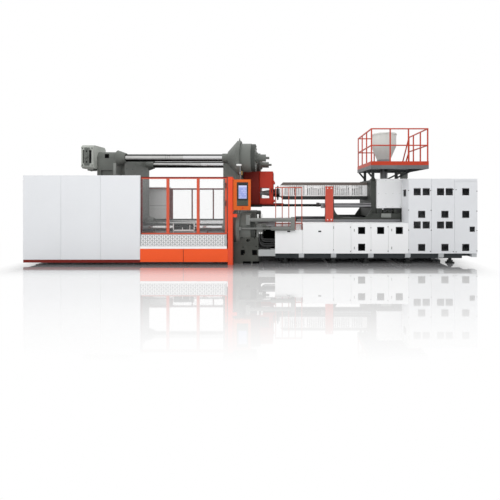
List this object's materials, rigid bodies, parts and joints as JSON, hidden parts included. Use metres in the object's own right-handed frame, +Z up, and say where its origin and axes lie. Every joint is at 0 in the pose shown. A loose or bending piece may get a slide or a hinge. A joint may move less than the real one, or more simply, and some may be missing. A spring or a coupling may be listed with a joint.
{
  "type": "injection moulding machine",
  "caption": "Horizontal two-platen hydraulic injection moulding machine with sliding guards, travelling injection unit, hopper platform and control cabinet.",
  "frame": {"origin": "middle of the footprint, on the floor", "axes": "+X from the clamp end to the injection end, +Y from the operator's side to the rear, +Z up"},
  "size_m": [13.76, 3.5, 4.245],
  "materials": {
    "white_cover": "smooth powder coat",
    "orange_paint": "semi-gloss paint",
    "dark_red_paint": "semi-gloss paint",
    "cast_grey": "painted casting",
    "machined_steel": "machined",
    "chrome_rod": "hard chrome",
    "bronze": "machined bronze",
    "tread_plate": "raised tread pattern",
    "clear_pane": "clear polycarbonate",
    "black_plastic": "moulded",
    "screen_black": "gloss front with lit display",
    "red_button": "moulded",
    "vent_black": "matt black",
    "perforated_sheet": "perforated sheet",
    "hopper_steel": "brushed",
    "hose_rubber": "braided hose cover"
  },
  "bodies": {
    "root": {"clamp_base": "cast_grey", "slide_ways": "machined_steel", "fixed_platen": "cast_grey", "platen_foot": "cast_grey", "tie_bars": "chrome_rod", "clamp_cylinders": "cast_grey", "travel_barrels": "machined_steel", "clamp_accumulator": "machined_steel", "front_covers": "white_cover", "rear_covers": "white_cover", "guard_frames": "dark_red_paint", "gate_columns": "orange_paint", "skirt_panels": "orange_paint", "tread_panels": "tread_plate", "injection_base": "cast_grey", "levelling_feet": "machined_steel", "base_covers": "white_cover", "base_fence": "orange_paint", "cabinet": "white_cover", "cabinet_panels": "white_cover", "vent_grilles": "vent_black", "carriage_rods": "chrome_rod", "hoses": "hose_rubber"},
    "moving_platen": {"moving_platen": "cast_grey", "platen_shoes": "bronze", "lock_housings": "cast_grey", "travel_rods": "chrome_rod", "ejector_cylinder": "machined_steel"},
    "lock_nuts_front": {"lock_nuts_front": "machined_steel"},
    "lock_nuts_rear": {"lock_nuts_rear": "machined_steel"},
    "ejector": {"ejector_plate": "machined_steel"},
    "front_gate": {"front_gate": "orange_paint", "front_gate_panes": "clear_pane", "front_gate_handles": "black_plastic"},
    "rear_gate": {"rear_gate": "orange_paint", "rear_gate_panes": "clear_pane"},
    "control_panel": {"hmi_panel": "orange_paint", "hmi_screen": "screen_black"},
    "stop_button": {"stop_button": "red_button"},
    "purge_guard": {"purge_guard": "dark_red_paint", "purge_panes": "clear_pane", "purge_handle": "black_plastic"},
    "carriage": {"carriage": "cast_grey", "carriage_barrels": "machined_steel", "barrel": "machined_steel", "nozzle": "machined_steel", "heater_bands": "machined_steel", "barrel_cover": "perforated_sheet", "barrel_shield": "orange_paint", "injection_cylinders": "machined_steel", "unit_cover": "white_cover", "hopper": "hopper_steel", "hopper_throat": "machined_steel", "platform": "cast_grey", "platform_rails": "orange_paint", "platform_legs": "cast_grey"},
    "crosshead": {"crosshead": "cast_grey", "screw_motor": "machined_steel"},
    "screw": {"screw": "machined_steel"},
    "hopper_lid": {"hopper_lid": "hopper_steel"}
  },
  "joints": [
    {"name": "moving_platen_joint", "type": "slide", "parent": "root", "child": "moving_platen", "axis": [1, 0, 0], "range_m": [0, 2.4]},
    {"name": "lock_nuts_front_joint", "type": "slide", "parent": "moving_platen", "child": "lock_nuts_front", "axis": [0, 1, 0], "range_m": [0, 0.055]},
    {"name": "lock_nuts_rear_joint", "type": "slide", "parent": "moving_platen", "child": "lock_nuts_rear", "axis": [0, 1, 0], "range_m": [-0.055, 0]},
    {"name": "ejector_joint", "type": "slide", "parent": "moving_platen", "child": "ejector", "axis": [1, 0, 0], "range_m": [0, 0.25]},
    {"name": "front_gate_joint", "type": "slide", "parent": "root", "child": "front_gate", "axis": [-1, 0, 0], "range_m": [0, 2.48]},
    {"name": "rear_gate_joint", "type": "slide", "parent": "root", "child": "rear_gate", "axis": [-1, 0, 0], "range_m": [0, 2.48]},
    {"name": "control_panel_joint", "type": "hinge", "parent": "root", "child": "control_panel", "pos_m": [-0.565, -1.703, 0], "axis": [0, 0, 1], "range_deg": [-75, 0]},
    {"name": "stop_button_joint", "type": "slide", "parent": "control_panel", "child": "stop_button", "axis": [0, 1, 0], "range_m": [0, 0.006], "stiffness_N_per_m": 300},
    {"name": "purge_guard_joint", "type": "slide", "parent": "root", "child": "purge_guard", "axis": [1, 0, 0], "range_m": [0, 0.3]},
    {"name": "carriage_joint", "type": "slide", "parent": "root", "child": "carriage", "axis": [1, 0, 0], "range_m": [-0.88, 0.15]},
    {"name": "crosshead_joint", "type": "slide", "parent": "carriage", "child": "crosshead", "axis": [1, 0, 0], "range_m": [0, 0.5]},
    {"name": "screw_joint", "type": "hinge", "parent": "crosshead", "child": "screw", "pos_m": [0, 0, 2.18], "axis": [1, 0, 0], "continuous": true},
    {"name": "hopper_lid_joint", "type": "hinge", "parent": "carriage", "child": "hopper_lid", "pos_m": [4.48, 0.455, 4.225], "axis": [-1, 0, 0], "range_deg": [0, 100]}
  ],
  "couplings": [
    {"joint": "lock_nuts_rear_joint", "follows": "lock_nuts_front_joint", "ratio": -1}
  ]
}
